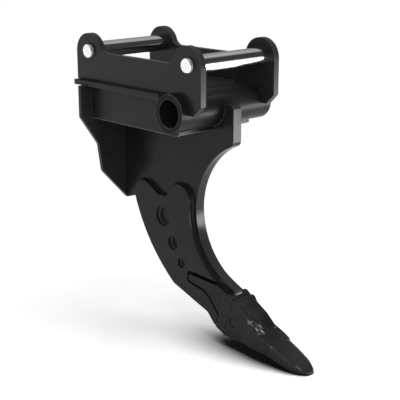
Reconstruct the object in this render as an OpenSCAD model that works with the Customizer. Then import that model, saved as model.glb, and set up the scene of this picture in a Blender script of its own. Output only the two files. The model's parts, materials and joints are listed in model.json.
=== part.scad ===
// Excavator ripper: pin-on hanger, cross tube, curved shank, weld-on adapter and tooth.
// Millimetres. +X runs forward to the tooth, +Y to the left, +Z up.
// The origin lies midway between the two hitch pin axes, on the centre plane.

/* [Hitch] */
// Distance between the hitch pin axes
pin_centres = 430; // [400:5:460]
// Diameter of the hitch pins between the plates
pin_d = 50; // [46:1:56]
// Diameter of the turned-down pin ends that pass through the plates
pin_end_d = 41; // [34:1:44]
// Clear width between the hanger plates
jaw_w = 270; // [240:5:300]
// How far each pin end stands out of its hanger plate
pin_proud = 12; // [8:1:16]
// Chamfer on the pin ends
pin_chamfer = 1.5; // [1:0.5:5]
// Leg of the weld ring round each pin end
pin_weld = 3.5; // [2.5:0.5:6]

/* [Hanger plates] */
// Thickness of the hanger plates
hanger_t = 20; // [15:1:25]
// Radius of the pin ears
ear_r = 57; // [50:1:62]
// Ear centre behind the rear pin
rear_ear_back = 8; // [0:1:12]
// Ear centre behind the front pin
front_ear_back = 11; // [0:1:14]
// Ear centre below the pins
ear_drop = 6; // [0:1:10]
// Top edge between the ears, below the pins
hanger_top_drop = 3; // [0:1:12]
// Fillet where an ear runs into the top edge
ear_fillet = 30; // [15:1:40]
// Corner cut at the lower front
hanger_corner = 28; // [15:1:36]

/* [Cross tube] */
// Outside diameter of the cross tube
tube_d = 110; // [100:1:116]
// Bore of the cross tube
tube_bore = 80; // [60:1:86]
// Tube axis ahead of the hitch centre
tube_ahead = 158; // [146:1:170]
// Tube axis below the pins
tube_drop = 137.5; // [130:0.5:145]
// Tube end past the hanger plate
tube_overhang = 23; // [15:1:30]

/* [Box] */
// Thickness of the base plate under the hanger plates
base_t = 15; // [12:1:18]
// Top of the base plate below the pins
base_drop = 89; // [84:1:95]
// Base plate edge past the hanger plate
base_overhang = 20; // [10:1:30]
// Base plate rear edge ahead of the hanger plate's rear edge
base_setback = 8; // [0:1:20]
// Thickness of the box side plates
box_t = 15; // [10:1:20]
// Box side inside the hanger plate's outer face
box_inset = 5; // [0:1:10]
// Thickness of the box floor
floor_t = 12; // [8:1:16]
// Corner radius at the front of the floor plates
floor_corner_r = 12; // [4:1:16]

/* [Back plate] */
// Thickness of the back plate
back_t = 12; // [8:1:16]
// Front face of the back plate behind the hitch centre
back_behind = 223; // [210:1:235]
// Back plate edge past the hanger plate
back_overhang = 34; // [20:1:40]
// End of the full width below the pins
back_shoulder_drop = 200; // [190:1:215]
// Upper end of the neck below the pins
neck_top_drop = 292; // [280:1:300]
// Half width of the neck at its upper end
neck_top_half = 125; // [112:1:136]
// Lower end of the neck below the pins
neck_low_drop = 380; // [370:1:390]
// Half width of the neck at its lower end
neck_low_half = 112; // [102:1:120]
// Bottom of the back plate below the shank's waist
back_below = 21; // [12:1:30]
// Rounding at the two ends of the neck
neck_round = 26; // [5:1:30]

/* [Shank] */
// Thickness of the shank
shank_t = 32; // [24:1:40]
// Front face of the nose ahead of the hitch centre
nose_ahead = 248; // [240:1:256]
// Top of the nose below the pins
nose_drop = 124; // [118:1:132]
// Chamfer on the nose's upper corner
nose_chamfer = 9; // [3:1:14]
// Rounding of the nose's lower corner
nose_round = 18; // [6:1:24]
// Narrowest front point ahead of the hitch centre
waist_ahead = 97; // [88:1:106]
// Narrowest front point below the pins
waist_drop = 460; // [448:1:470]
// Radius of the front edge above the waist
front_up_r = 237; // [230:1:244]
// Radius of the front edge below the waist
front_low_r = 212; // [200:1:216]
// Radius of the rear edge
rear_arc_r = 527; // [515:1:540]
// Centre of the rear edge's arc ahead of the hitch centre
rear_arc_ahead = 331; // [325:1:337]
// Centre of the rear edge's arc above the waist
rear_arc_rise = 171; // [165:1:177]

/* [Cheek plates] */
// Thickness of the cheek plates
cheek_t = 15; // [10:1:20]
// Front edge of a cheek behind the shank's front edge
cheek_inset = 15; // [8:1:20]
// Radius of the rear lobe
rear_lobe_r = 43; // [34:1:50]
// Place of the rear lobe along the rear edge, in degrees
rear_lobe_turn = 199.2; // [198.5:0.1:200.5]
// Radius of the front lobe
front_lobe_r = 48; // [40:1:54]
// Front lobe centre above the waist
front_lobe_rise = 24; // [10:1:34]
// Length of the straight flank into the valley between the lobes
lobe_flank_len = 52; // [44:1:58]
// Diameter of the upper plug hole
plug_1_d = 64; // [50:1:70]
// Diameter of the middle plug hole
plug_2_d = 43; // [34:1:50]
// Diameter of the lower plug hole
plug_3_d = 31; // [22:1:36]
// Distance of the upper plug hole from the rear edge
plug_1_in = 103; // [94:1:112]
// Distance of the middle plug hole from the rear edge
plug_2_in = 92; // [84:1:100]
// Distance of the lower plug hole from the rear edge
plug_3_in = 78; // [70:1:86]
// Groove between a cheek and the adapter's leg
groove_w = 11; // [6:0.5:13]

/* [Adapter] */
// Centre of the tooth's rim ahead of the hitch centre
rim_ahead = 256; // [250:1:262]
// Centre of the tooth's rim below the waist
rim_below = 290; // [282:1:298]
// Tooth axis below the horizontal, in degrees
pitch = 18.9; // [17:0.1:21]
// Shank end behind the rim
shank_end_back = 20; // [16:1:24]
// Upper corner of the shank end above the tooth axis
shank_end_up = 76; // [72:1:80]
// Thickness of an adapter leg
leg_t = 18; // [15:1:22]
// Reach of the legs behind the rim
leg_reach = 192; // [180:1:200]
// Height of the legs above the tooth axis
leg_up = 62; // [58:1:64]
// Width of a leg at its tip
leg_tip = 17; // [12:1:24]
// Width of the adapter's shoulder
shoulder_w = 82; // [76:1:88]
// Start of the adapter's shoulder behind the rim
shoulder_back = 34; // [30:1:38]
// Height of the adapter's shoulder above the tooth axis
shoulder_up = 65; // [60:1:68]
// Depth of the adapter's shoulder below the tooth axis
shoulder_down = 54; // [48:1:58]
// Length of the adapter's nose
nose_len = 95; // [85:1:105]
// Height of the adapter's nose at the rim
nose_h = 82; // [74:1:90]
// Height of the adapter's nose at its end
nose_end_h = 26; // [20:1:32]
// Width of the adapter's nose at the rim
nose_w = 56; // [48:1:60]
// Width of the adapter's nose at its end
nose_end_w = 36; // [28:1:42]

/* [Heel] */
// Underside of the heel below the tooth axis
heel_down = 40; // [36:1:46]
// Foot of the heel below the tooth axis
heel_foot_down = 61; // [56:1:66]
// Foot of the ramp behind the rim
heel_ramp_low = 46; // [44:1:50]
// Head of the ramp behind the rim
heel_ramp_high = 87; // [80:1:95]

/* [Tooth] */
// Width of the tooth at its rim
tooth_w = 80; // [74:1:90]
// Length of the tooth from rim to tip
tooth_len = 300; // [285:1:320]
// Height of the rim above the tooth axis
rim_up = 60; // [56:1:64]
// Height of the lip on top of the rim
rim_lip = 6; // [2:1:9]
// Depth of the rim below the tooth axis
rim_down = 62; // [58:1:66]
// End of the socket's roof ahead of the rim
roof_len = 72; // [66:1:80]
// Height of the roof's end above the tooth axis
roof_up = 46; // [42:1:50]
// Start of the blade ahead of the rim
blade_start = 113; // [106:1:120]
// Height of the blade's start above the tooth axis
blade_up = 29; // [26:1:33]
// Width over the side wings
wing_w = 90; // [84:1:96]
// End of the side wings ahead of the rim
wing_end = 178; // [165:1:190]
// Width over the side wings at their end
wing_end_w = 82; // [78:1:84]
// Height of the side wings above the tooth axis
wing_up = 24; // [20:1:26]
// Width of the blade where it rounds to the tip
blade_w = 69; // [62:1:74]
// Width of the flat along the top of the blade
blade_flat = 48; // [40:1:56]
// Slope of the bevels beside that flat, in degrees
blade_bevel = 16; // [10:1:24]
// Width of the tip
tip_w = 40; // [32:1:46]
// Thickness of the tip
tip_t = 15; // [10:1:20]

/* [Tooth pin] */
// Diameter of the tooth pin
lock_d = 24; // [20:1:28]
// Tooth pin ahead of the rim
lock_ahead = 22; // [19:1:26]
// Depth of the pin ends below the tooth's sides
lock_recess = 2; // [1:0.5:4]
// Width of the open ring round each pin end
lock_mouth = 3; // [1.5:0.5:4]
// Depth of that ring
lock_mouth_depth = 5; // [3:0.5:7]
// Outside diameter of the retainer ring
retainer_d = 38; // [35:1:42]
// Thickness of the retainer ring
retainer_t = 7; // [5:0.5:9]
// Depth of the pin's retainer groove
retainer_groove = 2; // [1:0.5:3]

/* [Hidden] */
// Gap left where a round or tapered face seats in another piece
fit_gap = 0.3;
// Facets of a full turn
$fn = 96;

paint = "#2b2c2e";
bare_steel = "#c9ccd0";
casting = "#3a3b3d";

// Hitch and hanger
hanger_out = jaw_w / 2 + hanger_t;
pin_x = pin_centres / 2;
rear_ear = [-pin_x - rear_ear_back, -ear_drop];
front_ear = [pin_x - front_ear_back, -ear_drop];
hanger_rear = rear_ear[0] - ear_r;
hanger_front = front_ear[0] + ear_r;
hanger_top = -hanger_top_drop;

// Tube, base plate and box
tube_r = tube_d / 2;
tube_z = -tube_drop;
tube_half = hanger_out + tube_overhang;
base_top = -base_drop;
base_low = base_top - base_t;
base_half = hanger_out + base_overhang;
base_rear = hanger_rear + base_setback;
seat_r = tube_r + fit_gap;
base_front = tube_ahead - sqrt(pow(seat_r, 2) - pow(base_low - tube_z, 2));
box_half = hanger_out - box_inset;
floor_top = tube_z - tube_r - fit_gap;
floor_low = floor_top - floor_t;
back_front = -back_behind;
back_bottom = -waist_drop - back_below;

// Shank arcs: the two arcs of the front edge meet at the waist
waist_z = -waist_drop;
front_up_c = [waist_ahead + front_up_r, waist_z];
front_low_c = [waist_ahead + front_low_r, waist_z];
rear_c = [rear_arc_ahead, waist_z + rear_arc_rise];
waist = [waist_ahead, waist_z];
nose_round_x = nose_ahead - nose_round;
nose_round_turn = acos((front_up_c[0] - nose_round_x) / (front_up_r + nose_round));
nose_round_c = [nose_round_x, waist_z + (front_up_r + nose_round) * sin(nose_round_turn)];

rear_step = polar(rear_c, rear_arc_r, rear_lobe_turn);

// Tooth frame: s runs along the tooth axis from the rim, n square to it and upward
rim = [rim_ahead, waist_z - rim_below];
function at_tooth(s, n) = rim + [s * cos(pitch) + n * sin(pitch), n * cos(pitch) - s * sin(pitch)];
function polar(c, r, a) = c + r * [cos(a), sin(a)];
function arc(c, r, a0, a1, steps) = [for (i = [0 : steps]) polar(c, r, a0 + (a1 - a0) * i / steps)];

// The straight run of the front edge leaves the lower arc towards the shank's end
shank_corner = at_tooth(-shank_end_back, shank_end_up);
to_corner = shank_corner - front_low_c;
run_turn = 360 + atan2(to_corner[1], to_corner[0]) - acos(front_low_r / norm(to_corner));

// Cheek lobes touch the edges that they run into
rear_lobe = polar(rear_c, rear_arc_r - rear_lobe_r, rear_lobe_turn);
lobe_reach = front_up_r + cheek_inset + front_lobe_r;
lobe_run = sqrt(pow(lobe_reach, 2) - pow(front_lobe_rise, 2));
front_lobe = [front_up_c[0] - lobe_run, waist_z + front_lobe_rise];
front_lobe_turn = -asin(front_lobe_rise / lobe_reach);
rear_flank_turn = 60;
front_flank_turn = 150;
plug_turns = [210.2, 222, 230.6];
plug_holes = [
    [plug_1_d, plug_1_in, plug_turns[0]],
    [plug_2_d, plug_2_in, plug_turns[1]],
    [plug_3_d, plug_3_in, plug_turns[2]]
];

// Legs of the adapter: distances behind the rim, heights on the tooth axis and corner radii
leg_out = shank_t / 2 + leg_t;
leg_tip_up = 29;
leg_tip_slant = 5;
leg_tip_r = 4;
leg_neck_back = 128;
leg_neck_up = 21;
leg_neck_r = 30;
leg_knee_back = 100;
leg_knee_up = 18;
leg_knee_r = 20;
leg_fork_back = 74;
leg_fork_up = 5;
leg_fork_r = 12;
leg_foot_back = 42;
leg_foot_down = 14;
leg_foot_r = 8;
leg_root_len = 4;
leg_roof_back = 78;

// Shoulder of the adapter: its ramp up from the legs, its flare below and its rounding
shoulder_step = 2;
shoulder_ramp = 7;
shoulder_flare = 3;
shoulder_r = 5;

// Adapter: the nose starts a little behind the rim and is centred a little below the axis
nose_seat = 1.5;
lock_z = -2;
function nose_half(s) = (nose_w + (nose_end_w - nose_w) * (s + nose_seat) / (nose_len + nose_seat)) / 2;

// Tooth pin and retainer: the ring stays within the taper of the nose
lock_half = tooth_w / 2 - lock_recess;
retainer_y = nose_half(lock_ahead + retainer_d / 2) - fit_gap;

// Profile of the tooth: lip of the rim, keel below the socket, tip, and blend radii
lip_chamfer = 3;
lip_len = 13;
lip_foot = 27;
lip_r = 5;
tooth_r = 20;
keel_ahead = 84;
keel_down = 33;
keel_gap = 12;
blade_under_len = 80;
tip_under_len = 44;
tip_under_rise = 4;
tip_slant = 5;
tip_r = 3;
tip_blend_r = 30;

// Plan of the tooth's point
point_len = 90;
point_r = 40;
tip_corner = 10;

// Blade of the tooth: fall of its upper face from its start to the tip
tip_rise = 8;
blade_low = -8;
tip_top = tip_rise + tip_t / 2;
tip_run = 34;
blade_run = tooth_len - tip_run - blade_start;
blade_tilt = atan((blade_up - tip_top) / blade_run);

// Lengths over which the wings swell from the tooth's sides and narrow to their end
wing_lead = 58;
wing_ramp = 30;
wing_sink = 1;

// Upper edge of the wings: its crest ahead of the blade's start, its cut end and the roundings
wing_crest = 12;
wing_crest_rise = 2;
wing_crest_r = 10;
wing_end_slant = 5;
wing_end_drop = 10;
wing_end_r = 8;
wing_low_r = 6;

// Bevels beside the blade's flat: start ahead of the blade's start, and reach past the wings
bevel_lead = 6;
bevel_past = 5;

// Reach of outlines that are cut off by others, and overruns of cutting bodies
far_len = 900;
past_len = 15;
cut_past = 1;

// Steps of the drawn arcs, and facets of the large circles
corner_steps = 6;
lobe_steps = 16;
front_facets = 240;
rear_facets = 360;

// Corner rounding for outlines: each point is [x, y, radius]
function unit(v) = v / norm(v);
function corner(a, b, c, r) =
    let (
        u = unit(a - b),
        v = unit(c - b),
        half = acos(max(-1, min(1, u * v))) / 2,
        start = b + u * r / tan(half),
        stop = b + v * r / tan(half),
        mid = b + unit(u + v) * r / sin(half),
        sweep = 180 - 2 * half
    )
    [for (i = [0 : corner_steps])
        let (t = i / corner_steps)
        mid + (sin((1 - t) * sweep) * (start - mid) + sin(t * sweep) * (stop - mid)) / sin(sweep)];
function flat(p) = [p[0], p[1]];
function rounded(pts) =
    let (n = len(pts))
    [for (i = [0 : n - 1])
        let (p = pts[i])
        each p[2] == 0
            ? [flat(p)]
            : corner(flat(pts[(i + n - 1) % n]), flat(p), flat(pts[(i + 1) % n]), p[2])];

// Extrudes an outline in X and Z from one Y to another
module slab(y0, y1) {
    translate([0, y1, 0]) rotate([90, 0, 0]) linear_extrude(y1 - y0) children();
}

// Round bar along Y between two Y values
module bar(r, y0, y1) {
    translate([0, y1, 0]) rotate([90, 0, 0]) cylinder(h = y1 - y0, r = r);
}

// Puts a part drawn in the tooth frame in its place
module at_rim() {
    translate([rim[0], 0, rim[1]]) rotate([0, pitch, 0]) children();
}

// Puts an outline drawn in the tooth frame in its place
module outline_at_rim() {
    translate(rim) rotate(-pitch) children();
}

// Hanger plates
ear_blend_up = hanger_top + ear_fillet;
ear_blend_run = sqrt(pow(ear_r + ear_fillet, 2) - pow(ear_blend_up + ear_drop, 2));
rear_blend = [rear_ear[0] + ear_blend_run, ear_blend_up];
front_blend = [front_ear[0] - ear_blend_run, ear_blend_up];

module hanger_outline() {
    difference() {
        union() {
            translate(rear_ear) circle(ear_r);
            translate(front_ear) circle(ear_r);
            polygon([
                [hanger_rear, rear_ear[1]],
                [hanger_rear, base_top],
                [tube_ahead, base_top],
                [tube_ahead, tube_z],
                [hanger_front - hanger_corner, tube_z],
                [hanger_front, tube_z + hanger_corner],
                [hanger_front, front_ear[1]],
                front_ear,
                front_blend,
                [front_blend[0], hanger_top],
                [rear_blend[0], hanger_top],
                rear_blend,
                rear_ear
            ]);
        }
        translate(rear_blend) circle(ear_fillet);
        translate(front_blend) circle(ear_fillet);
        for (x = [-pin_x, pin_x]) translate([x, 0]) circle(pin_end_d / 2 + fit_gap);
        translate([tube_ahead, tube_z]) circle(seat_r);
    }
}

module right_hanger_plate() {
    color(paint) slab(-hanger_out, -jaw_w / 2) hanger_outline();
}

module left_hanger_plate() {
    color(paint) slab(jaw_w / 2, hanger_out) hanger_outline();
}

// Hitch pins, shouldered between the plates, and the weld rings that hold them
module hitch_pin(x) {
    half = hanger_out + pin_proud;
    body = jaw_w / 2 - fit_gap;
    end_r = pin_end_d / 2;
    color(bare_steel) translate([x, 0, 0]) rotate([90, 0, 0]) rotate_extrude() polygon([
        [0, -half],
        [end_r - pin_chamfer, -half],
        [end_r, -half + pin_chamfer],
        [end_r, -body],
        [pin_d / 2, -body],
        [pin_d / 2, body],
        [end_r, body],
        [end_r, half - pin_chamfer],
        [end_r - pin_chamfer, half],
        [0, half]
    ]);
}

module pin_weld_ring(x, side) {
    root = pin_end_d / 2 + fit_gap;
    color(paint) translate([x, side * hanger_out, 0]) rotate([-90 * side, 0, 0]) rotate_extrude()
        polygon([[root, 0], [root + pin_weld, 0], [root, pin_weld]]);
}

module front_hitch_pin() { hitch_pin(pin_x); }
module rear_hitch_pin() { hitch_pin(-pin_x); }
module front_right_pin_weld() { pin_weld_ring(pin_x, -1); }
module front_left_pin_weld() { pin_weld_ring(pin_x, 1); }
module rear_right_pin_weld() { pin_weld_ring(-pin_x, -1); }
module rear_left_pin_weld() { pin_weld_ring(-pin_x, 1); }

// Base plate, back plate and box
module base_plate() {
    color(paint) translate([base_rear, -base_half, base_low])
        cube([base_front - base_rear, 2 * base_half, base_t]);
}

module back_outline() {
    top_half = hanger_out + back_overhang;
    right = [
        [shank_t / 2, back_bottom, 0],
        [neck_low_half, -neck_low_drop, neck_round],
        [neck_top_half, -neck_top_drop, neck_round],
        [top_half, -back_shoulder_drop, 0],
        [top_half, base_low, 0]
    ];
    last = len(right) - 1;
    left = [for (i = [last : -1 : 0]) [-right[i][0], right[i][1], right[i][2]]];
    polygon(rounded(concat(right, left)));
}

module back_plate() {
    color(paint) translate([back_front - back_t, 0, 0])
        rotate([90, 0, 90]) linear_extrude(back_t) back_outline();
}

module box_side_outline() {
    difference() {
        translate([back_front, floor_top])
            square([tube_ahead - tube_r / 2 - back_front, base_low - floor_top]);
        translate([tube_ahead, tube_z]) circle(seat_r);
    }
}

module right_box_plate() {
    color(paint) slab(-box_half, -box_half + box_t) box_side_outline();
}

module left_box_plate() {
    color(paint) slab(box_half - box_t, box_half) box_side_outline();
}

module floor_plate() {
    translate([0, 0, floor_low]) linear_extrude(floor_t) polygon(rounded([
        [back_front, shank_t / 2, 0],
        [tube_ahead, shank_t / 2, 0],
        [tube_ahead, box_half, floor_corner_r],
        [back_front, box_half, 0]
    ]));
}

module right_floor_plate() {
    color(paint) mirror([0, 1, 0]) floor_plate();
}

module left_floor_plate() {
    color(paint) floor_plate();
}

module cross_tube() {
    color(paint) translate([tube_ahead, 0, tube_z]) difference() {
        bar(tube_r, -tube_half, tube_half);
        bar(tube_bore / 2, -tube_half - cut_past, tube_half + cut_past);
    }
}

// Shank and cheek plates
module rear_disc() {
    translate(rear_c) circle(rear_arc_r, $fn = rear_facets);
}

// Edge of the blade from the lower arc down to the heel, drawn back by an inset
function blade_end(inset, end_back) = [
    polar(front_low_c, front_low_r + inset, run_turn),
    polar(shank_corner, inset, run_turn),
    at_tooth(-end_back, 0),
    at_tooth(-end_back, -heel_foot_down),
    at_tooth(-heel_ramp_low, -heel_foot_down),
    at_tooth(-heel_ramp_high, -heel_down),
    at_tooth(-far_len / 2, -heel_down)
];

// Head of the shank: everything above the waist
module head_outline() {
    difference() {
        polygon(concat(
            [
                [back_front, base_low],
                [tube_ahead - tube_r / 2, base_low],
                [tube_ahead + tube_r / 2, -nose_drop],
                [nose_ahead - nose_chamfer, -nose_drop],
                [nose_ahead, -nose_drop - nose_chamfer]
            ],
            arc(nose_round_c, nose_round, 0, -nose_round_turn, corner_steps),
            [front_up_c, waist, rear_step, [back_front, back_bottom]]
        ));
        translate(front_up_c) circle(front_up_r, $fn = front_facets);
        translate([tube_ahead, tube_z]) circle(seat_r);
    }
}

module blade_outline() {
    difference() {
        intersection() {
            polygon(concat(
                [polar(rear_c, far_len, rear_lobe_turn), rear_step, waist, front_low_c],
                blade_end(0, shank_end_back)
            ));
            rear_disc();
        }
        translate(front_low_c) circle(front_low_r, $fn = front_facets);
    }
}

module shank_outline() {
    head_outline();
    blade_outline();
}

module shank() {
    color(paint) slab(-shank_t / 2, shank_t / 2) shank_outline();
}

// What the cheek's front edge leaves open
module front_relief() {
    intersection() {
        translate(front_up_c) circle(front_up_r + cheek_inset, $fn = front_facets);
        translate([front_up_c[0] - far_len / 2, waist_z]) square(far_len);
    }
    intersection() {
        translate(front_low_c) circle(front_low_r + cheek_inset, $fn = front_facets);
        translate([front_low_c[0] - far_len / 2, waist_z - far_len]) square(far_len);
    }
}

module cheek_outline() {
    rear_top = arc(rear_lobe, rear_lobe_r, rear_lobe_turn, rear_flank_turn, lobe_steps);
    front_top = arc(front_lobe, front_lobe_r, front_flank_turn, front_lobe_turn, lobe_steps);
    valley = polar(rear_top[lobe_steps], lobe_flank_len, rear_flank_turn - 90);
    drop = (front_top[0][1] - valley[1]) / sin(front_flank_turn - 90);
    difference() {
        intersection() {
            polygon(concat(
                [polar(rear_c, far_len, rear_lobe_turn)],
                rear_top,
                [valley, polar(front_top[0], drop, front_flank_turn + 90)],
                front_top,
                [front_up_c, front_low_c],
                blade_end(cheek_inset, shoulder_back + groove_w)
            ));
            rear_disc();
        }
        front_relief();
        outline_at_rim() translate([-shoulder_back - groove_w, -far_len / 2]) square(far_len);
        offset(delta = groove_w) outline_at_rim() leg_outline();
        for (hole = plug_holes)
            translate(polar(rear_c, rear_arc_r - hole[1], hole[2])) circle(hole[0] / 2);
    }
}

module right_cheek_plate() {
    color(paint) slab(-shank_t / 2 - cheek_t, -shank_t / 2) cheek_outline();
}

module left_cheek_plate() {
    color(paint) slab(shank_t / 2, shank_t / 2 + cheek_t) cheek_outline();
}

// Adapter: two legs along the shank, a shoulder across its end and a tapered nose
module leg_outline() {
    root = -shoulder_back + leg_root_len;
    polygon(rounded([
        [-leg_reach, leg_tip_up, leg_tip_r],
        [-leg_reach + leg_tip_slant, leg_tip_up - leg_tip, leg_tip_r],
        [-leg_neck_back, leg_neck_up, leg_neck_r],
        [-leg_knee_back, leg_knee_up, leg_knee_r],
        [-leg_fork_back, leg_fork_up, leg_fork_r],
        [-leg_foot_back, -leg_foot_down, leg_foot_r],
        [root, -leg_foot_down, 0],
        [root, leg_up, 0],
        [-leg_roof_back, leg_up, leg_knee_r]
    ]));
}

module shoulder_outline() {
    polygon(rounded([
        [-shoulder_back, leg_up - shoulder_step, 0],
        [-shoulder_back + shoulder_ramp, shoulder_up, shoulder_r],
        [-shank_end_back, shoulder_up, shoulder_r],
        [-nose_seat, rim_up, 0],
        [-nose_seat, -shoulder_down - shoulder_flare, 0],
        [-shoulder_back, -shoulder_down, 0]
    ]));
}

// Tapered block of the adapter's nose, grown by a gap
module nose_block(gap) {
    rise = lock_z;
    intersection() {
        slab(-tooth_w, tooth_w) polygon([
            [-nose_seat - gap, rise + nose_h / 2 + gap],
            [nose_len + gap, rise + nose_end_h / 2 + gap],
            [nose_len + gap, rise - nose_end_h / 2 - gap],
            [-nose_seat - gap, rise - nose_h / 2 - gap]
        ]);
        translate([0, 0, -nose_h]) linear_extrude(2 * nose_h) polygon([
            [-nose_seat - gap, nose_w / 2 + gap],
            [nose_len + gap, nose_end_w / 2 + gap],
            [nose_len + gap, -nose_end_w / 2 - gap],
            [-nose_seat - gap, -nose_w / 2 - gap]
        ]);
    }
}

module lock_bore(r, y0, y1) {
    translate([lock_ahead, 0, lock_z]) bar(r, y0, y1);
}

module adapter() {
    color(casting) at_rim() difference() {
        union() {
            slab(-leg_out, leg_out) leg_outline();
            slab(-shoulder_w / 2, shoulder_w / 2) shoulder_outline();
            nose_block(0);
        }
        translate([-far_len, -shank_t / 2, -far_len / 2]) cube([far_len - shank_end_back, shank_t, far_len]);
        lock_bore(lock_d / 2 + fit_gap, -tooth_w, tooth_w);
        lock_bore(retainer_d / 2 + fit_gap, retainer_y - retainer_t - fit_gap, tooth_w);
    }
}

// Tooth: a profile across its width, cut to its plan, with a socket for the nose
module tooth_profile() {
    polygon(rounded([
        [0, rim_up + rim_lip - lip_chamfer, 0],
        [lip_chamfer, rim_up + rim_lip, 0],
        [lip_len, rim_up + rim_lip, lip_r],
        [lip_foot, rim_up + (roof_up - rim_up) * lip_foot / roof_len, 2 * lip_r],
        [roof_len, roof_up, tooth_r],
        [blade_start, blade_up, tooth_r],
        [blade_start + blade_run, tip_top, tip_blend_r],
        [tooth_len, tip_top - tip_slant, tip_r],
        [tooth_len, tip_top - tip_t + tip_r, tip_r],
        [tooth_len - tip_under_len, blade_low + tip_under_rise, tip_blend_r],
        [tooth_len - blade_under_len, blade_low, tooth_r],
        [wing_end - keel_gap, blade_low - tip_r, keel_gap],
        [keel_ahead, -keel_down, tooth_r],
        [0, -rim_down, 0]
    ]));
}

module tooth_plan() {
    half = [
        [0, tooth_w / 2, 0],
        [tooth_len - point_len, tooth_w / 2, 2 * point_r],
        [tooth_len - tip_under_len, blade_w / 2, point_r],
        [tooth_len - tip_corner, tip_w / 2, tip_corner],
        [tooth_len, tip_w / 4, 0]
    ];
    last = len(half) - 1;
    mirrored = [for (i = [last : -1 : 0]) [half[i][0], -half[i][1], half[i][2]]];
    polygon(rounded(concat(half, mirrored)));
}

// Side wings: the profile within a window, across the wings' width
module wing_outline() {
    intersection() {
        tooth_profile();
        polygon(rounded([
            [blade_start - wing_lead, -rim_down, 0],
            [blade_start - wing_lead, blade_up, 0],
            [blade_start + wing_crest, wing_up + wing_crest_rise, wing_crest_r],
            [wing_end - wing_end_slant, wing_up, wing_end_r],
            [wing_end, wing_up - wing_end_drop, wing_low_r],
            [wing_end, -rim_down, 0]
        ]));
    }
}

module wing_plan() {
    side = [
        [blade_start - wing_lead, tooth_w / 2 - wing_sink],
        [blade_start, wing_w / 2],
        [wing_end - wing_ramp, wing_w / 2],
        [wing_end, wing_end_w / 2]
    ];
    last = len(side) - 1;
    polygon(concat(side, [for (i = [last : -1 : 0]) [side[i][0], -side[i][1]]]));
}

module edge_bevel() {
    inner = blade_flat / 2;
    outer = wing_w / 2 + bevel_past;
    translate([blade_start + bevel_lead, 0, blade_up]) rotate([0, blade_tilt, 0]) rotate([90, 0, 90])
        linear_extrude(tooth_len) polygon([
            [inner, 0],
            [outer, (inner - outer) * tan(blade_bevel)],
            [outer, past_len],
            [inner, past_len]
        ]);
}

module tooth() {
    color(casting) at_rim() difference() {
        union() {
            difference() {
                intersection() {
                    slab(-tooth_w / 2, tooth_w / 2) tooth_profile();
                    translate([0, 0, -2 * rim_down]) linear_extrude(4 * rim_down) tooth_plan();
                }
                edge_bevel();
                mirror([0, 1, 0]) edge_bevel();
            }
            intersection() {
                slab(-wing_w / 2, wing_w / 2) wing_outline();
                translate([0, 0, -2 * rim_down]) linear_extrude(4 * rim_down) wing_plan();
            }
        }
        nose_block(fit_gap);
        lock_bore(lock_d / 2 + fit_gap, -tooth_w, tooth_w);
        lock_bore(lock_d / 2 + lock_mouth, -tooth_w, lock_mouth_depth - tooth_w / 2);
        lock_bore(lock_d / 2 + lock_mouth, tooth_w / 2 - lock_mouth_depth, tooth_w);
    }
}

module tooth_pin() {
    groove_r = lock_d / 2 - retainer_groove;
    low = retainer_y - retainer_t;
    color(casting) at_rim() difference() {
        lock_bore(lock_d / 2, -lock_half, lock_half);
        difference() {
            lock_bore(lock_d, low, retainer_y);
            lock_bore(groove_r, low - cut_past, retainer_y + cut_past);
        }
    }
}

module pin_retainer() {
    color(bare_steel) at_rim() difference() {
        lock_bore(retainer_d / 2, retainer_y - retainer_t + fit_gap, retainer_y - fit_gap);
        lock_bore(lock_d / 2 - retainer_groove + fit_gap, 0, tooth_w);
    }
}

right_hanger_plate();
left_hanger_plate();
front_hitch_pin();
rear_hitch_pin();
front_right_pin_weld();
front_left_pin_weld();
rear_right_pin_weld();
rear_left_pin_weld();
base_plate();
back_plate();
right_box_plate();
left_box_plate();
right_floor_plate();
left_floor_plate();
cross_tube();
shank();
right_cheek_plate();
left_cheek_plate();
adapter();
tooth();
tooth_pin();
pin_retainer();
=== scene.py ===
import json
import math

import bmesh
import bpy
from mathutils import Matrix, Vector, noise
from mathutils.bvhtree import BVHTree


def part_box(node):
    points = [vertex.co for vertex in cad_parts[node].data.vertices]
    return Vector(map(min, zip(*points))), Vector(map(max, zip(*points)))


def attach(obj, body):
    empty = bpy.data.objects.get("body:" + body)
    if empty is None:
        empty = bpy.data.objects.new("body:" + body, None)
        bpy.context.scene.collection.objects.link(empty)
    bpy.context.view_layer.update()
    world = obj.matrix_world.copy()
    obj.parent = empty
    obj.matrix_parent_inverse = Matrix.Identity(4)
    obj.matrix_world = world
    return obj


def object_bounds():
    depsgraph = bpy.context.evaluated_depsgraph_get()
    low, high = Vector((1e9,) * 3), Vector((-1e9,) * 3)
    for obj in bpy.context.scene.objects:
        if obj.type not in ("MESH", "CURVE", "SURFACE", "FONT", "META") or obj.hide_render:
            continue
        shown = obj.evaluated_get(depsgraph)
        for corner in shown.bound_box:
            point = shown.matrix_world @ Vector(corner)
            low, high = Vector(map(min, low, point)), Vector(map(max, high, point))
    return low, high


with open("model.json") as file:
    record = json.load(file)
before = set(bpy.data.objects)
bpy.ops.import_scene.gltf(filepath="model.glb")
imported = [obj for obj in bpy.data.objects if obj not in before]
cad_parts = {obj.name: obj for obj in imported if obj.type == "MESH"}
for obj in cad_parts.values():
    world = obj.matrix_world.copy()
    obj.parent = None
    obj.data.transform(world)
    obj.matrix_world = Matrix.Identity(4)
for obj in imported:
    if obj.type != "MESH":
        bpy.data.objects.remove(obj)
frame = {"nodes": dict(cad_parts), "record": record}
cad_low, cad_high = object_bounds()
nodes = frame["nodes"]

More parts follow.
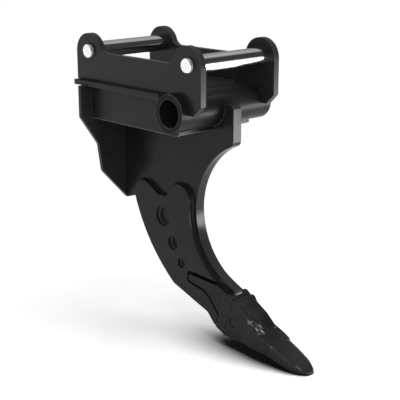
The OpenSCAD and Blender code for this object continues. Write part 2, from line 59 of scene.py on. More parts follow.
# Camera, fitted to the photograph: degrees, metres, and millimetres of lens and sensor
CAMERA_AZIMUTH = 46.21
CAMERA_ELEVATION = 16.09
CAMERA_PLACE = (2.08751, -1.90852, 0.36580)
CAMERA_LENS = 86.49
CAMERA_SENSOR = 36.0

# Paint: features of its noises per metre
CLOUDS_PER_M = 7.0
SCUFFS_PER_M = 55.0
PEEL_PER_M = 420.0
WAVES_PER_M = 22.0

# Paint: rubbed edges and their painted highlight reach this many edge roundings and painted shade in corners
# this many metres, with the roughness that marks add
WEAR_AND_HIGHLIGHT_REACH = 1.4
WEAR_AND_HIGHLIGHT_LEAST = 0.25
CREVICE_SHADE_REACH = 0.014
SCUFF_ROUGH = 0.06
CREVICE_ROUGH = 0.4

# Paint: tones of flame-cut edges and of the painted highlight spots, shaped as paint rubbed through
CUT_TONE = (0.026, 0.0263, 0.027)
RUBBED_HIGHLIGHT_TONE = (0.30, 0.301, 0.305)

# Ranges that the ramps read: values of noise, of openness, and of directions
CLOUD_RANGE = (0.35, 0.65)
SCUFF_RANGE = (0.45, 0.72)
BLOTCH_RANGE = (0.50, 0.62)
DRAG_RANGE = (0.35, 0.65)
DRAG_LEAST = 0.55
LINE_RANGE = (0.3, 0.7)
SMEAR_RANGE = (0.4, 0.7)
CREVICE_SHADE_RANGE = (0.58, 0.18)
EDGE_RANGE = (0.99, 0.85)
LOWER_RANGE = (-0.05, -0.3)
ACROSS_RANGE = (0.6, 0.3)
SPOT_CORE = 0.35

# Samples of the nodes that look round a point
BEVEL_SAMPLES = 6
CREVICE_SHADE_SAMPLES = 8
CONTACT_SAMPLES = 16

# Stretch of noise along X, Y and Z: drag lines of a flame cut, blotches of the painted highlight spots, and
# lines and smears on a pin
CUT_STRETCH = (9.0, 320.0, 9.0)
BLOTCH_STRETCH = (45.0, 260.0, 110.0)
LINE_STRETCH = (6.0, 900.0, 6.0)
SMEAR_STRETCH = (40.0, 7.0, 40.0)

# Bright steel: tones, roughness, and the distance from the centre plane past which the pins are turned down
STEEL_BRIGHT = (0.96, 0.962, 0.966)
STEEL_DULL = (0.90, 0.903, 0.91)
STEEL_ROUGH = (0.09, 0.17)
SMEAR_ROUGH = 0.05
LINE_DEPTH = 0.00002
STEEL_EDGE = 0.0012
TURNED_FROM = 0.1365
TURNED_BLEND = 0.001
TURNED_ROUGH = 0.75

# Weld beads, in metres: spacing of the sections, ripple, sink into the corner, and shape of a section
WELD_STEP = 0.0015
WELD_RIPPLE = 0.0055
WELD_SINK = 0.0005
PROFILE_STEPS = 6
BEAD_BASE = 0.92
BEAD_RIPPLE = 0.10
BEAD_DRIFT = 0.10
BEAD_CROWN = 0.16
BEAD_START = 0.35
DRIFT_PER_M = 60.0
DRIFT_SHIFT = (0.0, 3.0, 7.0)

# Legs of the beads, in metres; a plug weld's leg grows by a share of its hole's radius
HANGER_BEAD = 0.007
BOX_BEAD = 0.006
SEAM_BEAD = 0.003
END_BEAD = 0.005
CHEEK_BEAD = 0.006
PLUG_BEAD = 0.0055
PLUG_SHARE = 0.12

# How far beads stop short of the ends of their corners, in metres
HANGER_STOP = 0.012
LONG_STOP = 0.008
MID_STOP = 0.006
SHORT_STOP = 0.004
CORNER_STOP = 0.003
FLOOR_STOP = 0.002

# Arc of the tube that is welded to the shank: degrees from +X towards +Z, and steps
TUBE_WELD_FROM = 12
TUBE_WELD_TO = -84
ARC_STEPS = 64

# Tooth frame: centre of the rim, pitch of the axis, and the shank's end behind the rim and above the axis
RIM = Vector((0.256, 0.0, -0.750))
PITCH = math.radians(18.9)
SHANK_END_BACK = 0.020
SHANK_END_UP = 0.0645

# Tolerances for points, planes and paths, in metres
SAME_POINT = 1e-6
IN_PLANE = 1e-5
ON_SIDE = 1e-4
SHORTEST_STEP = 1e-9

# Probes for bare shank: metres from the centre plane that they start, and legs of bead out from the rim
PROBE_AWAY = 0.5
PROBE_OUT = 1.6

# Floor: size, the ring over which it turns white to the eye, its look, and the painted contact shadow near
# the object
FLOOR_HALF = 40.0
FLOOR_CELLS = 4
FLOOR_NEAR = 0.45
FLOOR_FAR = 1.5
FLOOR_LIFT = 0.33
FLOOR_ROUGH = 0.9
FLOOR_LEVEL = 0.1
FLOOR_WHITE = (0.97, 0.97, 0.97)
FLOOR_SHADE = (0.006, 0.006, 0.006)
FLOOR_UNSEEN = (0.4, 0.4, 0.4)
CONTACT_REACH = 0.22
CONTACT_DARK = 0.52
CONTACT_CLEAR = 0.85

# Room: its levels, the X of a direction where it turns from pale to dim, and one soft window
ROOM_DIM = 0.04
ROOM_PALE = 0.26
ROOM_PALE_X = -0.55
ROOM_DIM_X = 0.15
WINDOW_WAY = (-0.10, 0.66, 0.745)
WINDOW_LEVEL = 0.38
WINDOW_RIM = 0.90
WINDOW_CORE = 0.97

# Lamps: name, azimuth, elevation, distance, size, power, and whether gloss mirrors it
LAMPS = (
    ("overhead_box", 100, 84, 3.2, (4.0, 4.0), 80.0, False),
    ("key_box", 136, 36, 3.0, (1.6, 1.6), 14.0, False),
    ("side_panel", 132, -8, 1.6, (1.4, 0.4), 24.0, True),
    ("left_fill", -25, 30, 3.4, (2.4, 2.4), 4.0, False),
    ("front_fill", 42, 22, 3.4, (2.0, 2.0), 28.0, False),
    ("ridge_box", 100, 80, 3.0, (0.9, 0.9), 14.0, True),
)

# Places of the two colour inputs and the colour output on a Mix node
MIX_A = 6
MIX_B = 7
MIX_OUT = 2


# Node helpers

def new_material(name):
    """An empty node material with its output and a principled shader."""
    mat = bpy.data.materials.new(name)
    mat.use_nodes = True
    tree = mat.node_tree
    tree.nodes.clear()
    out = tree.nodes.new("ShaderNodeOutputMaterial")
    shader = tree.nodes.new("ShaderNodeBsdfPrincipled")
    tree.links.new(shader.outputs["BSDF"], out.inputs["Surface"])
    return mat, tree, shader


def noise_value(tree, coords, scale, detail=4.0, rough=0.55):
    """Noise of a given number of features per metre."""
    tex = tree.nodes.new("ShaderNodeTexNoise")
    tex.inputs["Scale"].default_value = scale
    tex.inputs["Detail"].default_value = detail
    tex.inputs["Roughness"].default_value = rough
    tree.links.new(coords, tex.inputs["Vector"])
    return tex.outputs["Fac"]


def ramp(tree, value, low, high, out_low=0.0, out_high=1.0):
    """Maps a range of values to another, clamped."""
    node = tree.nodes.new("ShaderNodeMapRange")
    node.inputs["From Min"].default_value = low
    node.inputs["From Max"].default_value = high
    node.inputs["To Min"].default_value = out_low
    node.inputs["To Max"].default_value = out_high
    tree.links.new(value, node.inputs["Value"])
    return node.outputs["Result"]


def math_node(tree, operation, a, b):
    """An operation on two values, each a number or a socket."""
    node = tree.nodes.new("ShaderNodeMath")
    node.operation = operation
    for socket, value in zip(node.inputs, (a, b)):
        if isinstance(value, (int, float)):
            socket.default_value = value
        else:
            tree.links.new(value, socket)
    return node.outputs["Value"]


def product(tree, a, b):
    return math_node(tree, "MULTIPLY", a, b)


def mix_colour(tree, factor, a, b):
    """Mixes two colours, each a tuple or a socket."""
    node = tree.nodes.new("ShaderNodeMix")
    node.data_type = "RGBA"
    tree.links.new(factor, node.inputs["Factor"])
    for socket, value in zip((node.inputs[MIX_A], node.inputs[MIX_B]), (a, b)):
        if isinstance(value, tuple):
            socket.default_value = (*value, 1.0)
        else:
            tree.links.new(value, socket)
    return node.outputs[MIX_OUT]


def component(tree, vector, axis):
    """One of X, Y and Z of a vector socket."""
    split = tree.nodes.new("ShaderNodeSeparateXYZ")
    tree.links.new(vector, split.inputs["Vector"])
    return split.outputs[axis]


def occlusion(tree, reach, samples):
    """1 in the open and lower near other faces."""
    node = tree.nodes.new("ShaderNodeAmbientOcclusion")
    node.samples = samples
    node.inputs["Distance"].default_value = reach
    return node.outputs["AO"]


def rounded_normal(tree, radius):
    """The normal as if edges were rounded."""
    node = tree.nodes.new("ShaderNodeBevel")
    node.samples = BEVEL_SAMPLES
    node.inputs["Radius"].default_value = radius
    return node.outputs["Normal"]


def edge_mask(tree, radius):
    """Near 1 on the outer and inner edges of a solid and 0 on its faces."""
    geometry = tree.nodes.new("ShaderNodeNewGeometry")
    dot = tree.nodes.new("ShaderNodeVectorMath")
    dot.operation = "DOT_PRODUCT"
    tree.links.new(rounded_normal(tree, radius), dot.inputs[0])
    tree.links.new(geometry.outputs["True Normal"], dot.inputs[1])
    return ramp(tree, dot.outputs["Value"], *EDGE_RANGE)


def lower_edges(tree, radius):
    """1 on the rounding of edges that look down and 0 elsewhere."""
    return ramp(tree, component(tree, rounded_normal(tree, radius), "Z"), *LOWER_RANGE)


def bump(tree, height, distance, normal):
    node = tree.nodes.new("ShaderNodeBump")
    node.inputs["Distance"].default_value = distance
    tree.links.new(height, node.inputs["Height"])
    tree.links.new(normal, node.inputs["Normal"])
    return node.outputs["Normal"]


def object_coords(tree):
    return tree.nodes.new("ShaderNodeTexCoord").outputs["Object"]


def stretched(tree, coords, scale):
    node = tree.nodes.new("ShaderNodeMapping")
    node.inputs["Scale"].default_value = scale
    tree.links.new(coords, node.inputs["Vector"])
    return node.outputs["Vector"]


def across_y(tree):
    """1 on faces that run along Y and 0 on those that face it."""
    normal = tree.nodes.new("ShaderNodeTexCoord").outputs["Normal"]
    return ramp(tree, math_node(tree, "ABSOLUTE", component(tree, normal, "Y"), 0.0), *ACROSS_RANGE)


# Materials

def cut_edges(tree, coords):
    """Near 1 on the flame-cut edges of a plate that lies across Y, broken by the cut's drag lines."""
    lines = noise_value(tree, stretched(tree, coords, CUT_STRETCH), 1.0, rough=0.6)
    return product(tree, across_y(tree), ramp(tree, lines, *DRAG_RANGE, DRAG_LEAST, 1.0))


def rubbed_highlight_spots(tree, coords, spots):
    """Near 1 in blotches round each (centre, radius): a painted highlight, shaped as paint rubbed through."""
    total = None
    blotches = noise_value(tree, stretched(tree, coords, BLOTCH_STRETCH), 1.0, rough=0.6)
    blotches = ramp(tree, blotches, *BLOTCH_RANGE)
    for centre, radius in spots:
        apart = tree.nodes.new("ShaderNodeVectorMath")
        apart.operation = "DISTANCE"
        tree.links.new(coords, apart.inputs[0])
        apart.inputs[1].default_value = centre
        spot = product(tree, blotches, ramp(tree, apart.outputs["Value"], radius, SPOT_CORE * radius))
        total = spot if total is None else math_node(tree, "MAXIMUM", total, spot)
    return total


def paint_material(name, dark, light, worn_and_highlight, rough, grain, lump, edge=0.0024, level=0.22, crevice_shade_tone=0.011,
                   polish=None, spots=(), floor_reflection_below=False):
    """Black paint: cloudy tone, light edges that are partly rubbed paint and partly painted highlight,
    painted shade in corners, orange peel and a slow waviness of the plate.
    polish is how much smoother a plate's cut edges are than its faces, where it has cut edges."""
    mat, tree, shader = new_material(name)
    coords = object_coords(tree)
    clouds = ramp(tree, noise_value(tree, coords, CLOUDS_PER_M), *CLOUD_RANGE)
    scuffs = ramp(tree, noise_value(tree, coords, SCUFFS_PER_M, detail=8.0, rough=0.7), *SCUFF_RANGE)
    colour = mix_colour(tree, clouds, dark, light)
    gloss = math_node(tree, "ADD", ramp(tree, clouds, 0.0, 1.0, *rough), product(tree, scuffs, SCUFF_ROUGH))
    if polish is not None:
        cut_mask = cut_edges(tree, coords)
        colour = mix_colour(tree, cut_mask, colour, CUT_TONE)
        gloss = math_node(tree, "SUBTRACT", gloss, product(tree, cut_mask, polish))
    # Light edge tone: partly paint rubbed off the edges, partly a painted highlight along them
    wear_and_highlight_reach = WEAR_AND_HIGHLIGHT_REACH * edge
    rub_and_highlight = product(tree, edge_mask(tree, wear_and_highlight_reach), ramp(tree, scuffs, 0.0, 1.0, WEAR_AND_HIGHLIGHT_LEAST, 1.0))
    # Where asked, the light edge tone stays on edges that look down: a painted reflection of the floor
    # beneath
    if floor_reflection_below:
        rub_and_highlight = product(tree, rub_and_highlight, lower_edges(tree, wear_and_highlight_reach))
    # Painted shade: the colour darkens where other faces come near, in corners, creases and grooves
    crevice_shade = ramp(tree, occlusion(tree, CREVICE_SHADE_REACH, CREVICE_SHADE_SAMPLES), *CREVICE_SHADE_RANGE)
    colour = mix_colour(tree, rub_and_highlight, colour, worn_and_highlight)
    colour = mix_colour(tree, crevice_shade, colour, (crevice_shade_tone, crevice_shade_tone, crevice_shade_tone))
    # Painted highlight: near-white spots, shaped as paint rubbed through
    if spots:
        colour = mix_colour(tree, rubbed_highlight_spots(tree, coords, spots), colour, RUBBED_HIGHLIGHT_TONE)
    tree.links.new(colour, shader.inputs["Base Color"])
    gloss = math_node(tree, "ADD", gloss, product(tree, crevice_shade, CREVICE_ROUGH))
    tree.links.new(gloss, shader.inputs["Roughness"])
    shader.inputs["Specular IOR Level"].default_value = level
    peel = bump(tree, noise_value(tree, coords, PEEL_PER_M, detail=3.0), grain, rounded_normal(tree, edge))
    wave = bump(tree, noise_value(tree, coords, WAVES_PER_M, detail=5.0), lump, peel)
    tree.links.new(wave, shader.inputs["Normal"])
    return mat


def steel_material(name):
    """Ground bright steel: fine lines round the bar, a few dull smears and rougher turned ends."""
    mat, tree, shader = new_material(name)
    coords = object_coords(tree)
    lines = noise_value(tree, stretched(tree, coords, LINE_STRETCH), 1.0, detail=6.0, rough=0.7)
    smears = noise_value(tree, stretched(tree, coords, SMEAR_STRETCH), 1.0, detail=5.0)
    smears = ramp(tree, smears, *SMEAR_RANGE)
    tree.links.new(mix_colour(tree, smears, STEEL_BRIGHT, STEEL_DULL), shader.inputs["Base Color"])
    shader.inputs["Metallic"].default_value = 1.0
    ground = ramp(tree, lines, *LINE_RANGE, *STEEL_ROUGH)
    gloss = math_node(tree, "ADD", ground, product(tree, smears, SMEAR_ROUGH))
    from_middle = math_node(tree, "ABSOLUTE", component(tree, coords, "Y"), 0.0)
    past = ramp(tree, from_middle, TURNED_FROM, TURNED_FROM + TURNED_BLEND)
    turned = product(tree, product(tree, past, across_y(tree)), TURNED_ROUGH)
    tree.links.new(math_node(tree, "MAXIMUM", gloss, turned), shader.inputs["Roughness"])
    fine = bump(tree, lines, LINE_DEPTH, rounded_normal(tree, STEEL_EDGE))
    tree.links.new(fine, shader.inputs["Normal"])
    return mat


# Plates: tones, roughness, and depth of the orange peel and of the waves
PLATE_DARK = (0.020, 0.0205, 0.022)
PLATE_LIGHT = (0.027, 0.0275, 0.029)
# Edge tone of the plates: partly rubbed paint, partly a painted highlight along the edges
PLATE_WORN_AND_HIGHLIGHT = (0.14, 0.141, 0.144)
PLATE_ROUGH = (0.30, 0.40)
CUT_PLATE_ROUGH = (0.21, 0.31)
PLATE_GRAIN = 0.00004
PLATE_LUMP = 0.00025
plate_paint = paint_material(
    "plate_paint", PLATE_DARK, PLATE_LIGHT, PLATE_WORN_AND_HIGHLIGHT,
    PLATE_ROUGH, PLATE_GRAIN, PLATE_LUMP)
cut_plate_paint = paint_material(
    "cut_plate_paint", PLATE_DARK, PLATE_LIGHT, PLATE_WORN_AND_HIGHLIGHT,
    CUT_PLATE_ROUGH, PLATE_GRAIN, PLATE_LUMP, polish=-0.02)
shank_paint = paint_material(
    "shank_paint", PLATE_DARK, PLATE_LIGHT, (0.06, 0.0605, 0.062),
    CUT_PLATE_ROUGH, PLATE_GRAIN, PLATE_LUMP, level=0.155, crevice_shade_tone=0.022, polish=0.09)
# Back plate: paint half as light again as the other plates, painted light on a face that the lamps leave in
# shade
back_lightened_paint = paint_material(
    "back_lightened_paint", (0.031, 0.0315, 0.033), (0.041, 0.0415, 0.043), PLATE_WORN_AND_HIGHLIGHT,
    PLATE_ROUGH, PLATE_GRAIN, PLATE_LUMP)
# Floor plates: near-white tone on their lower edges, a painted reflection of the floor below
floor_plate_paint = paint_material(
    "floor_plate_paint", PLATE_DARK, PLATE_LIGHT, (0.90, 0.901, 0.905),
    PLATE_ROUGH, PLATE_GRAIN, PLATE_LUMP, edge=0.0034, floor_reflection_below=True)
# Cross tube: its light edge tone is a painted highlight round the tube's rims
tube_paint = paint_material(
    "tube_paint", (0.012, 0.0123, 0.013), (0.018, 0.0183, 0.019), (0.42, 0.422, 0.428),
    (0.30, 0.38), PLATE_GRAIN, PLATE_LUMP, level=0.11)

# Welds: roughness, depth of the grain and of the lumps, and rounding of the edges
WELD_ROUGH = (0.30, 0.42)
WELD_GRAIN = 0.00012
WELD_LUMP = 0.0003
WELD_EDGE = 0.0008
# Seam weld in the corner of back plate and shank: near-black, a painted shade that keeps it as dark as its
# corner
seam_paint = paint_material(
    "seam_paint", (0.006, 0.0061, 0.0065), (0.010, 0.0101, 0.0106), (0.012, 0.0121, 0.0126),
    (0.42, 0.52), WELD_GRAIN, WELD_LUMP, WELD_EDGE, level=0.05)
weld_paint = paint_material(
    "weld_paint", (0.015, 0.0155, 0.017), (0.022, 0.0225, 0.024), (0.05, 0.05, 0.052),
    WELD_ROUGH, WELD_GRAIN, WELD_LUMP, WELD_EDGE)
plug_paint = paint_material(
    "plug_paint", (0.034, 0.0344, 0.0355), (0.050, 0.0503, 0.0515), (0.12, 0.121, 0.123),
    WELD_ROUGH, WELD_GRAIN, WELD_LUMP, WELD_EDGE, crevice_shade_tone=0.034)
# Weld across the shank's end: light tones that are partly bare weld and partly a painted highlight along the
# bead
end_weld_highlight_paint = paint_material(
    "end_weld_highlight_paint", (0.04, 0.04, 0.041), (0.26, 0.26, 0.263), (0.6, 0.6, 0.61),
    (0.25, 0.35), WELD_GRAIN, WELD_LUMP, WELD_EDGE, level=0.4)

# Castings, with the centre and radius of each spot of painted highlight on the tooth, shaped as paint rubbed
# through
RUBBED_HIGHLIGHTS = (
    ((0.366, -0.024, -0.755), 0.025),
    ((0.345, -0.037, -0.738), 0.014),
    ((0.518, -0.027, -0.824), 0.012),
)
# Tooth: its light edge tone is partly wear and partly a painted highlight on the ridges, and its crevices
# take a near-black painted shade
cast_paint = paint_material(
    "cast_paint", (0.009, 0.0092, 0.0102), (0.021, 0.0213, 0.0225), (0.17, 0.171, 0.174),
    (0.20, 0.38), grain=0.0002, lump=0.0018, edge=0.0026, level=0.17, crevice_shade_tone=0.003, spots=RUBBED_HIGHLIGHTS)
pin_steel = steel_material("pin_steel")

SLOT_LOOKS = {"black_paint": plate_paint, "pin_steel": pin_steel, "cast_paint": cast_paint}
NODE_LOOKS = {
    "right_hanger_plate": cut_plate_paint,
    "left_hanger_plate": cut_plate_paint,
    "shank": shank_paint,
    "right_cheek_plate": shank_paint,
    "left_cheek_plate": shank_paint,
    "back_plate": back_lightened_paint,
    "right_floor_plate": floor_plate_paint,
    "left_floor_plate": floor_plate_paint,
    "cross_tube": tube_paint,
    "front_right_pin_weld": weld_paint,
    "front_left_pin_weld": weld_paint,
    "rear_right_pin_weld": weld_paint,
    "rear_left_pin_weld": weld_paint,
}
for part in frame["record"]["subparts"]:
    name = part["node"]
    nodes[name].data.materials.clear()
    nodes[name].data.materials.append(NODE_LOOKS.get(name, SLOT_LOOKS[part["material_slot"]]))


# Weld beads

def resample(points, step):
    """Evenly spaced (point, side) pairs along an open path of such pairs."""
    out = [points[0]]
    carried = 0.0
    for (p, u), (q, v) in zip(points, points[1:]):
        length = (q - p).length
        if length < SHORTEST_STEP:
            continue
        at = step - carried
        while at <= length:
            t = at / length
            out.append((p.lerp(q, t), u.lerp(v, t).normalized()))
            at += step
        carried = length - (at - step)
    out.append(points[-1])
    return out


def bead_section(corner, side, rise, size):
    """Points of one section of a bead: its root in the corner, then its crowned face."""
    root = corner - WELD_SINK * (side + rise)
    points = [root]
    for k in range(PROFILE_STEPS + 1):
        t = k / PROFILE_STEPS
        crown = BEAD_CROWN * math.sin(math.pi * t)
        points.append(root + size * ((1 - t + crown) * side + (t + crown) * rise))
    return points


def weld_bead(name, path, rise, leg, look=weld_paint):
    """A rippled fillet weld along a path of (corner, direction along the first face) pairs.
    rise is the direction along the second face, the same all along the path."""
    rise = Vector(rise).normalized()
    rings = resample(path, WELD_STEP)
    mesh = bpy.data.meshes.new(name)
    bm = bmesh.new()
    sections = []
    last = len(rings) - 1
    for i, (corner, side) in enumerate(rings):
        from_end = min(i, last - i) * WELD_STEP
        taper = min(1.0, BEAD_START + (1.0 - BEAD_START) * from_end / leg)
        ripple = abs(math.sin(math.pi * i * WELD_STEP / WELD_RIPPLE))
        drift = noise.noise(corner * DRIFT_PER_M + Vector(DRIFT_SHIFT))
        size = leg * taper * (BEAD_BASE + BEAD_RIPPLE * ripple + BEAD_DRIFT * drift)
        sections.append([bm.verts.new(point) for point in bead_section(corner, side, rise, size)])
    for a, b in zip(sections, sections[1:]):
        count = len(a)
        for k in range(count):
            n = (k + 1) % count
            bm.faces.new((a[k], a[n], b[n], b[k]))
    bm.faces.new(sections[0][::-1])
    bm.faces.new(sections[-1])
    bmesh.ops.recalc_face_normals(bm, faces=bm.faces)
    for face in bm.faces:
        face.smooth = len(face.verts) == 4
    bm.to_mesh(mesh)
    bm.free()
    obj = bpy.data.objects.new(name, mesh)
    bpy.context.scene.collection.objects.link(obj)
    mesh.materials.append(look)
    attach(obj, "root")


def straight(start, end, side):
    """A straight path with one direction along the first face."""
    side = Vector(side).normalized()
    return [(Vector(start), side), (Vector(end), side)]


def ring_path(centre, radius, y, start, stop):
    """Arc round the cross tube in the plane of one Y, with directions out from the tube."""
    path = []
    for i in range(ARC_STEPS + 1):
        turn = math.radians(start + (stop - start) * i / ARC_STEPS)
        out = Vector((math.cos(turn), 0.0, math.sin(turn)))
        path.append((Vector((centre.x, y, centre.z)) + radius * out, out))
    return path


hanger_low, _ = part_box("left_hanger_plate")
base_low, base_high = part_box("base_plate")
box_low, box_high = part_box("left_box_plate")
back_low, back_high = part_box("back_plate")
floor_low, floor_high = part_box("left_floor_plate")
tube_low, tube_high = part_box("cross_tube")
shank_low, shank_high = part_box("shank")
tube_centre = (tube_low + tube_high) / 2
tube_radius = (tube_high.z - tube_low.z) / 2

for label, side in (("right", -1), ("left", 1)):
    outward = (0, side, 0)
    inward = (0, -side, 0)
    hanger_y = side * hanger_low.y
    box_y = side * box_high.y
    shank_y = side * shank_high.y
    weld_bead(f"{label}_hanger_weld",
              straight((hanger_low.x + HANGER_STOP, hanger_y, base_high.z),
                       (base_high.x - HANGER_STOP, hanger_y, base_high.z), inward),
              (0, 0, 1), HANGER_BEAD)
    weld_bead(f"{label}_box_top_weld",
              straight((box_low.x + SHORT_STOP, box_y, base_low.z),
                       (base_high.x - MID_STOP, box_y, base_low.z), outward),
              (0, 0, -1), BOX_BEAD)
    weld_bead(f"{label}_box_rear_weld",
              straight((box_low.x, box_y, floor_low.z + FLOOR_STOP),
                       (box_low.x, box_y, base_low.z - SHORT_STOP), outward),
              (1, 0, 0), SEAM_BEAD)
    weld_bead(f"{label}_shank_rear_weld",
              straight((back_high.x, shank_y, back_low.z + MID_STOP),
                       (back_high.x, shank_y, floor_low.z - SHORT_STOP), outward),
              (1, 0, 0), SEAM_BEAD, seam_paint)
    weld_bead(f"{label}_floor_weld",
              straight((back_high.x + LONG_STOP, shank_y, floor_low.z),
                       (floor_high.x - SHORT_STOP, shank_y, floor_low.z), outward),
              (0, 0, -1), BOX_BEAD)
    weld_bead(f"{label}_floor_rear_weld",
              straight((back_high.x, side * (shank_high.y + LONG_STOP), floor_low.z),
                       (back_high.x, side * (floor_high.y - CORNER_STOP), floor_low.z), (0, 0, -1)),
              (1, 0, 0), BOX_BEAD)
    weld_bead(f"{label}_tube_shank_weld",
              ring_path(tube_centre, tube_radius, shank_y, TUBE_WELD_FROM, TUBE_WELD_TO),
              outward, SEAM_BEAD)

# Weld across the shank's end, on top of the adapter's shoulder
along = Vector((math.cos(PITCH), 0.0, -math.sin(PITCH)))
above = Vector((math.sin(PITCH), 0.0, math.cos(PITCH)))
shank_end = RIM - SHANK_END_BACK * along + SHANK_END_UP * above
weld_bead("shank_end_weld",
          straight(shank_end + Vector((0, shank_low.y, 0)), shank_end + Vector((0, shank_high.y, 0)), along),
          above, END_BEAD, end_weld_highlight_paint)


# Welds round the cheek plates and in their plug holes

def plane_rims(node, y):
    """Closed loops of (point, direction out of the face) round a node's flat face at one Y."""
    bm = bmesh.new()
    bm.from_mesh(nodes[node].data)
    bmesh.ops.remove_doubles(bm, verts=bm.verts, dist=SAME_POINT)

    def in_plane(face):
        return all(abs(v.co.y - y) < IN_PLANE for v in face.verts)

    links = {}
    outs = {}
    for edge in bm.edges:
        flat = [f for f in edge.link_faces if in_plane(f)]
        if len(flat) != 1 or len(edge.link_faces) != 2:
            continue
        a, b = edge.verts
        links.setdefault(a.index, []).append(b.index)
        links.setdefault(b.index, []).append(a.index)
        middle = (a.co + b.co) / 2
        run = (b.co - a.co).normalized()
        out = middle - flat[0].calc_center_median()
        out.y = 0.0
        out -= run * out.dot(run)
        for v in (a, b):
            outs[v.index] = outs.get(v.index, Vector()) + out.normalized()
    bm.verts.ensure_lookup_table()
    loops = []
    left = set(links)
    while left:
        start = min(left)
        loop = [start]
        left.discard(start)
        while True:
            ahead = [v for v in links[loop[-1]] if v in left]
            if not ahead:
                break
            loop.append(ahead[0])
            left.discard(ahead[0])
        loops.append([(bm.verts[v].co.copy(), outs[v].normalized()) for v in loop])
    bm.free()
    return loops


def surface(node):
    """A node's mesh, for ray casts."""
    mesh = nodes[node].data
    mesh.calc_loop_triangles()
    points = [v.co for v in mesh.vertices]
    return BVHTree.FromPolygons(points, [t.vertices for t in mesh.loop_triangles])


shank_surface = surface("shank")
adapter_surface = surface("adapter")


def open_shank(point, side):
    """Whether the shank's side lies bare at a point of it."""
    probe = Vector((point.x, side * PROBE_AWAY, point.z))
    down = Vector((0, -side, 0))
    hit = shank_surface.ray_cast(probe, down)[0]
    bare = adapter_surface.ray_cast(probe, down)[0] is None
    return bare and hit is not None and abs(abs(hit.y) - shank_high.y) < ON_SIDE


def height(loop):
    """Extent of a loop along Z."""
    return max(p.z for p, _ in loop) - min(p.z for p, _ in loop)


def longest_bare_run(rim, side):
    """The longest stretch of a cheek plate's rim that has bare shank beside it."""
    bare = [open_shank(p + PROBE_OUT * CHEEK_BEAD * out, side) for p, out in rim]
    if not all(bare):
        first = next(i for i in range(len(rim)) if bare[i] and not bare[i - 1])
        rim = rim[first:] + rim[:first]
        bare = bare[first:] + bare[:first]
    runs = [[]]
    for point, is_bare in zip(rim, bare):
        if is_bare:
            runs[-1].append(point)
        else:
            runs.append([])
    return max(runs, key=len)


for label, side in (("right", -1), ("left", 1)):
    outward = (0, side, 0)
    loops = plane_rims(f"{label}_cheek_plate", side * shank_high.y)
    rim = max(loops, key=height)
    holes = sorted((loop for loop in loops if loop is not rim), key=lambda loop: -loop[0][0].z)
    for count, hole in enumerate(holes, 1):
        leg = PLUG_BEAD + PLUG_SHARE * height(hole) / 2
        weld_bead(f"{label}_plug_{count}_weld", hole + hole[:1], outward, leg, plug_paint)
    weld_bead(f"{label}_cheek_weld", longest_bare_run(rim, side), outward, CHEEK_BEAD)


# Stage: floor, lights and camera

def floor_material():
    """A pale floor that keeps the object's shadow, with a painted contact shadow darkening its colour near
    the object, and turns plain white to the eye further out.
    """
    mat, tree, shader = new_material("studio_floor")
    shader.inputs["Roughness"].default_value = FLOOR_ROUGH
    shader.inputs["Specular IOR Level"].default_value = FLOOR_LEVEL
    length = tree.nodes.new("ShaderNodeVectorMath")
    length.operation = "LENGTH"
    tree.links.new(object_coords(tree), length.inputs[0])
    away = ramp(tree, length.outputs["Value"], FLOOR_NEAR, FLOOR_FAR)
    path = tree.nodes.new("ShaderNodeLightPath")
    seen = math_node(tree, "MAXIMUM", path.outputs["Is Camera Ray"], path.outputs["Is Glossy Ray"])
    seen = math_node(tree, "MAXIMUM", seen, path.outputs["Is Transmission Ray"])
    # Painted shadow: the floor's colour goes dark where the object comes close above it
    clear = ramp(tree, occlusion(tree, CONTACT_REACH, CONTACT_SAMPLES), CONTACT_DARK, CONTACT_CLEAR)
    shade = mix_colour(tree, clear, FLOOR_SHADE, FLOOR_WHITE)
    tree.links.new(mix_colour(tree, seen, FLOOR_UNSEEN, shade), shader.inputs["Base Color"])
    tree.links.new(shade, shader.inputs["Emission Color"])
    tree.links.new(product(tree, seen, FLOOR_LIFT), shader.inputs["Emission Strength"])
    white = tree.nodes.new("ShaderNodeEmission")
    white.inputs["Strength"].default_value = 1.0
    mix = tree.nodes.new("ShaderNodeMixShader")
    tree.links.new(product(tree, away, seen), mix.inputs["Fac"])
    tree.links.new(shader.outputs["BSDF"], mix.inputs[1])
    tree.links.new(white.outputs["Emission"], mix.inputs[2])
    out = next(n for n in tree.nodes if n.type == "OUTPUT_MATERIAL")
    tree.links.new(mix.outputs["Shader"], out.inputs["Surface"])
    return mat


def studio_floor(level, centre):
    """A large level floor under the object."""
    mesh = bpy.data.meshes.new("studio_floor")
    bm = bmesh.new()
    bmesh.ops.create_grid(bm, x_segments=FLOOR_CELLS, y_segments=FLOOR_CELLS, size=FLOOR_HALF)
    bm.to_mesh(mesh)
    bm.free()
    obj = bpy.data.objects.new("studio_floor", mesh)
    obj.location = (centre.x, centre.y, level)
    bpy.context.scene.collection.objects.link(obj)
    mesh.materials.append(floor_material())


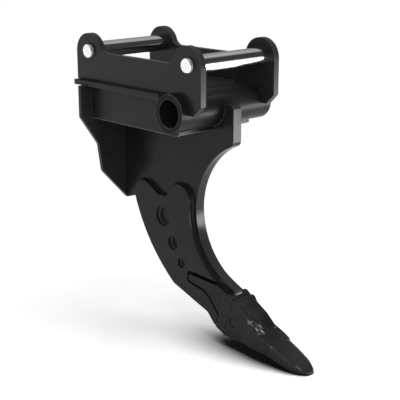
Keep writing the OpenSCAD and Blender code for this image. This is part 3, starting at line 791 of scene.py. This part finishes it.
def area_light(name, azimuth, elevation, distance, size, power, mirrored, aim):
    """A rectangular lamp round the object: azimuth 0 stands at -Y and 90 at +X.
    A lamp that isn't mirrored lights surfaces without showing in their gloss."""
    data = bpy.data.lights.new(name, "AREA")
    data.shape = "RECTANGLE"
    data.size, data.size_y = size
    data.energy = power
    obj = bpy.data.objects.new(name, data)
    a, e = math.radians(azimuth), math.radians(elevation)
    away = Vector((math.sin(a) * math.cos(e), -math.cos(a) * math.cos(e), math.sin(e)))
    obj.location = aim + distance * away
    obj.rotation_euler = away.to_track_quat("Z", "Y").to_euler()
    obj.visible_glossy = mirrored
    bpy.context.scene.collection.objects.link(obj)


def studio_world():
    """A dim room, paler behind the object, with one soft window that the bright pins mirror."""
    world = bpy.data.worlds.new("studio")
    world.use_nodes = True
    tree = world.node_tree
    background = tree.nodes["Background"]
    background.inputs["Color"].default_value = (1.0, 1.0, 1.0, 1.0)
    way = tree.nodes.new("ShaderNodeTexCoord").outputs["Generated"]
    behind = ramp(tree, component(tree, way, "X"), ROOM_PALE_X, ROOM_DIM_X, ROOM_PALE, ROOM_DIM)
    facing = tree.nodes.new("ShaderNodeVectorMath")
    facing.operation = "DOT_PRODUCT"
    facing.inputs[1].default_value = WINDOW_WAY
    tree.links.new(way, facing.inputs[0])
    window = ramp(tree, facing.outputs["Value"], WINDOW_RIM, WINDOW_CORE, ROOM_DIM, WINDOW_LEVEL)
    tree.links.new(math_node(tree, "MAXIMUM", behind, window), background.inputs["Strength"])
    bpy.context.scene.world = world


def photo_camera():
    """The camera that took the photograph."""
    data = bpy.data.cameras.new("photo_camera")
    data.sensor_width = CAMERA_SENSOR
    data.lens = CAMERA_LENS
    obj = bpy.data.objects.new("photo_camera", data)
    obj.location = CAMERA_PLACE
    obj.rotation_euler = (math.radians(90 - CAMERA_ELEVATION), 0.0, math.radians(CAMERA_AZIMUTH))
    bpy.context.scene.collection.objects.link(obj)
    bpy.context.scene.camera = obj


middle = (cad_low + cad_high) / 2
studio_floor(cad_low.z, middle)
studio_world()
for lamp in LAMPS:
    area_light(*lamp, middle)
photo_camera()
bpy.context.scene.view_settings.view_transform = "Standard"
